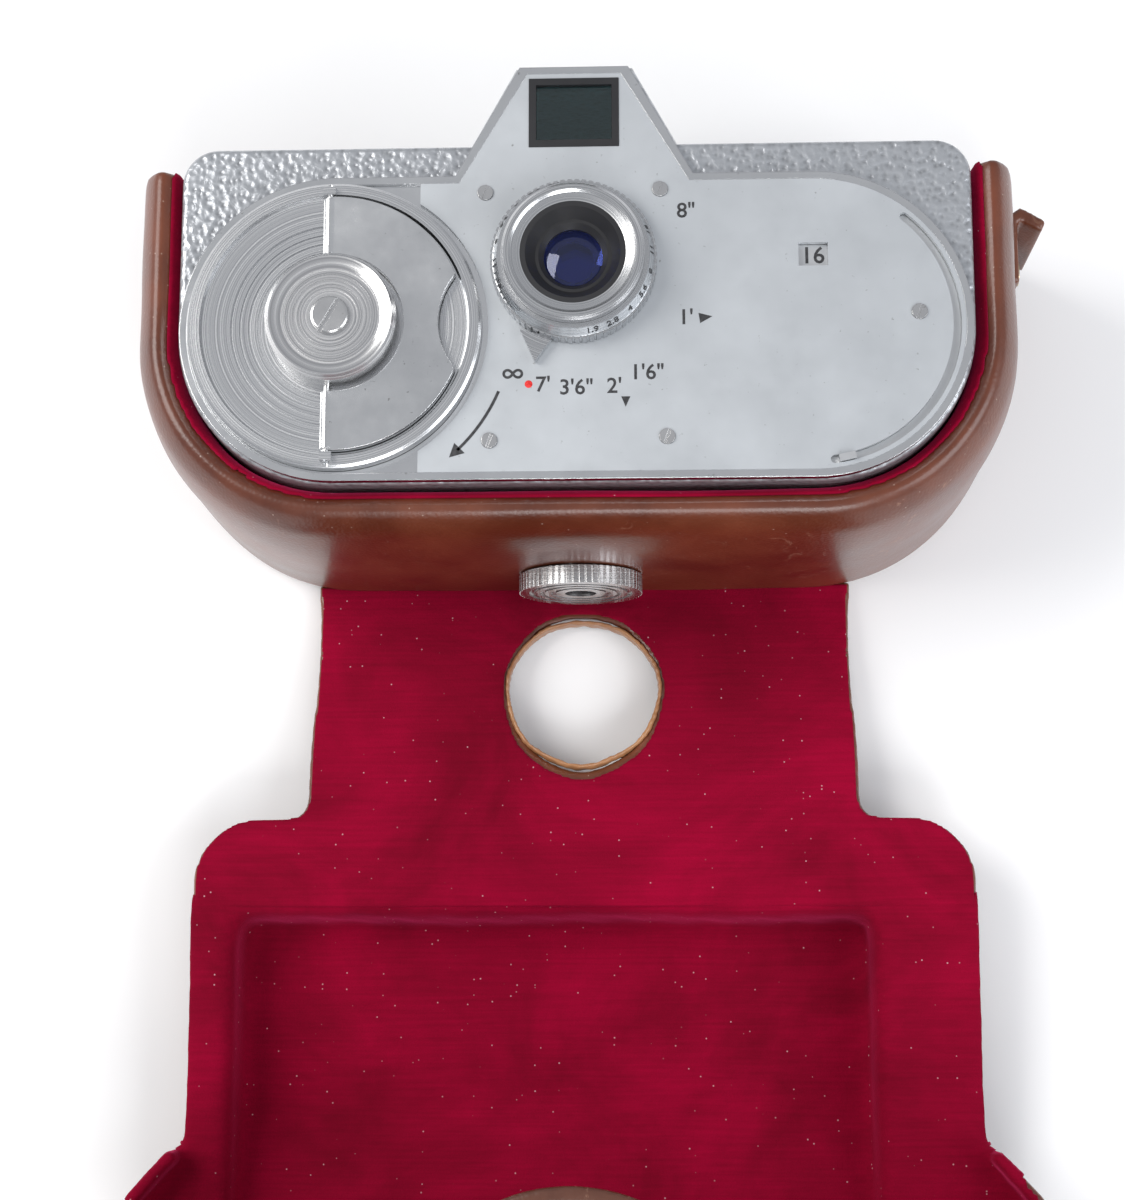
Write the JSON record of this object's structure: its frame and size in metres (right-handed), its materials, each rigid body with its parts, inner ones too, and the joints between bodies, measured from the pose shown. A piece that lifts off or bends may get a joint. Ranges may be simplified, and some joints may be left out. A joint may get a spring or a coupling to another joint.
{
  "type": "cine camera",
  "caption": "Flat double-eight cine camera with a folding winding key and knurled focusing lens, held by a screw in its opened velvet-lined leather case.",
  "frame": {"origin": "on the lens axis at the back face of the leather half case, where the camera rests on a table", "axes": "+Z along the lens axis away from the film, +Y towards the viewfinder, +X to the speed selector end"},
  "size_m": [0.1846, 0.2546, 0.0806],
  "materials": {
    "case_leather": "smooth moulded hide",
    "strap_leather": "worn hide with a raw edge",
    "velvet": "short-pile velvet",
    "snap_metal": "dark enamelled cap",
    "rivet_metal": "polished",
    "hammertone": "silver hammered enamel",
    "back_enamel": "silver hammered enamel",
    "bright_bezel": "polished edge",
    "satin_plate": "satin anodised",
    "turned_disc": "turned in fine rings",
    "key_metal": "satin",
    "bright_screws": "polished",
    "ring_metal": "satin chrome",
    "button_metal": "polished",
    "knob_metal": "knurled",
    "black_metal": "matt black",
    "lens_glass": "coated",
    "finder_glass": "tinted by the dark tunnel",
    "speed_dial": "engraved dial",
    "inner_steel": "machined",
    "inner_brass": "machined",
    "spool_metal": "black enamel",
    "film": "film base"
  },
  "bodies": {
    "camera": {"case_leather": "case_leather", "case_velvet": "velvet", "strap_stub": "strap_leather", "strap_rivet": "rivet_metal", "body_casting": "hammertone", "back_door": "back_enamel", "finder_eyepiece": "finder_glass", "finder_lens": "finder_glass", "finder_frame": "black_metal", "front_bezel": "bright_bezel", "front_plate": "satin_plate", "plate_screws": "bright_screws", "lens_barrel": "black_metal", "front_ring": "ring_metal", "lens_funnel": "black_metal", "front_glass": "lens_glass", "iris_blades": "black_metal", "rear_glass": "lens_glass", "rear_cell": "black_metal", "release_collar": "ring_metal", "front_mech_plate": "inner_brass", "rear_mech_plate": "inner_brass", "mech_pillars": "inner_steel", "film_gate": "inner_steel", "pressure_plate": "inner_steel", "film_claw": "inner_steel", "spool_spindle": "inner_steel", "tripod_bush": "inner_steel"},
    "winder": {"winding_disc": "turned_disc", "disc_hub": "turned_disc", "hub_screw": "bright_screws", "key_pins": "bright_screws", "winding_arbor": "inner_steel"},
    "key": {"winding_key": "key_metal"},
    "drum": {"spring_drum": "inner_brass", "drum_cover": "inner_brass", "mainspring": "inner_steel"},
    "middle": {"middle_wheel": "inner_brass"},
    "shutter": {"shutter_shaft": "inner_steel", "shutter_disc": "black_metal"},
    "governor": {"governor": "inner_brass"},
    "supply": {"supply_spool": "spool_metal", "supply_film": "film"},
    "takeup": {"takeup_spool": "spool_metal", "takeup_film": "film"},
    "focus": {"focus_ring": "ring_metal"},
    "aperture": {"aperture_ring": "ring_metal"},
    "speed": {"speed_disc": "speed_dial"},
    "release": {"release_button": "button_metal"},
    "knob": {"retaining_knob": "knob_metal"},
    "strip": {"strip_leather": "case_leather", "strip_velvet": "velvet"},
    "cover": {"cover_leather": "case_leather", "cover_velvet": "velvet"},
    "tab": {"snap_tab": "strap_leather", "snap_cap": "snap_metal"}
  },
  "joints": [
    {"name": "winding_turn", "type": "hinge", "parent": "camera", "child": "winder", "pos_m": [-0.0455, -0.012, 0.0604], "axis": [0, 0, 1], "continuous": true},
    {"name": "key_fold", "type": "hinge", "parent": "winder", "child": "key", "pos_m": [-0.0465, -0.012, 0.06305], "axis": [0, 1, 0], "range_deg": [-90, 0]},
    {"name": "motor_run", "type": "hinge", "parent": "camera", "child": "drum", "pos_m": [-0.0455, -0.012, 0.04], "axis": [0, 0, 1], "continuous": true},
    {"name": "middle_turn", "type": "hinge", "parent": "camera", "child": "middle", "pos_m": [-0.01844, -0.00215, 0.03], "axis": [0, 0, 1], "continuous": true},
    {"name": "shutter_turn", "type": "hinge", "parent": "camera", "child": "shutter", "pos_m": [-0.0014, -0.01408, 0.03], "axis": [0, 0, 1], "continuous": true},
    {"name": "governor_turn", "type": "hinge", "parent": "camera", "child": "governor", "pos_m": [-0.03645, 0.00825, 0.015], "axis": [0, 0, 1], "continuous": true},
    {"name": "supply_turn", "type": "hinge", "parent": "camera", "child": "supply", "pos_m": [0.048, 0.008, 0.0307], "axis": [0, 1, 0], "continuous": true},
    {"name": "takeup_turn", "type": "hinge", "parent": "camera", "child": "takeup", "pos_m": [0.048, -0.01, 0.0307], "axis": [0, 1, 0], "continuous": true},
    {"name": "focus_turn", "type": "hinge", "parent": "camera", "child": "focus", "pos_m": [0, 0, 0.0604], "axis": [0, 0, 1], "range_deg": [-6, 136]},
    {"name": "aperture_turn", "type": "hinge", "parent": "camera", "child": "aperture", "pos_m": [0, 0, 0.0604], "axis": [0, 0, 1], "range_deg": [0, 96]},
    {"name": "speed_turn", "type": "hinge", "parent": "camera", "child": "speed", "pos_m": [0.0455, -0.012, 0.0604], "axis": [0, 0, 1], "range_deg": [0, 123]},
    {"name": "release_press", "type": "slide", "parent": "camera", "child": "release", "axis": [0, -1, 0], "range_m": [0, 0.002], "stiffness_N_per_m": 250},
    {"name": "knob_turn", "type": "hinge", "parent": "camera", "child": "knob", "pos_m": [0, -0.0526, 0.0205], "axis": [0, -1, 0], "continuous": true},
    {"name": "strip_fold", "type": "hinge", "parent": "camera", "child": "strip", "pos_m": [0, -0.0544, 0.0015], "axis": [-1, 0, 0], "range_deg": [0, 77.99]},
    {"name": "cover_fold", "type": "hinge", "parent": "strip", "child": "cover", "pos_m": [0, -0.11504, 0.0144], "axis": [-1, 0, 0], "range_deg": [0, 96]},
    {"name": "tab_fold", "type": "hinge", "parent": "cover", "child": "tab", "pos_m": [0, -0.21234, 0.0778], "axis": [1, 0, 0], "range_deg": [0, 150]}
  ],
  "couplings": [
    {"joint": "middle_turn", "follows": "motor_run", "ratio": -5},
    {"joint": "shutter_turn", "follows": "motor_run", "ratio": 16.667},
    {"joint": "governor_turn", "follows": "motor_run", "ratio": 16.667},
    {"joint": "takeup_turn", "follows": "motor_run", "ratio": 2},
    {"joint": "supply_turn", "follows": "motor_run", "ratio": 1}
  ]
}
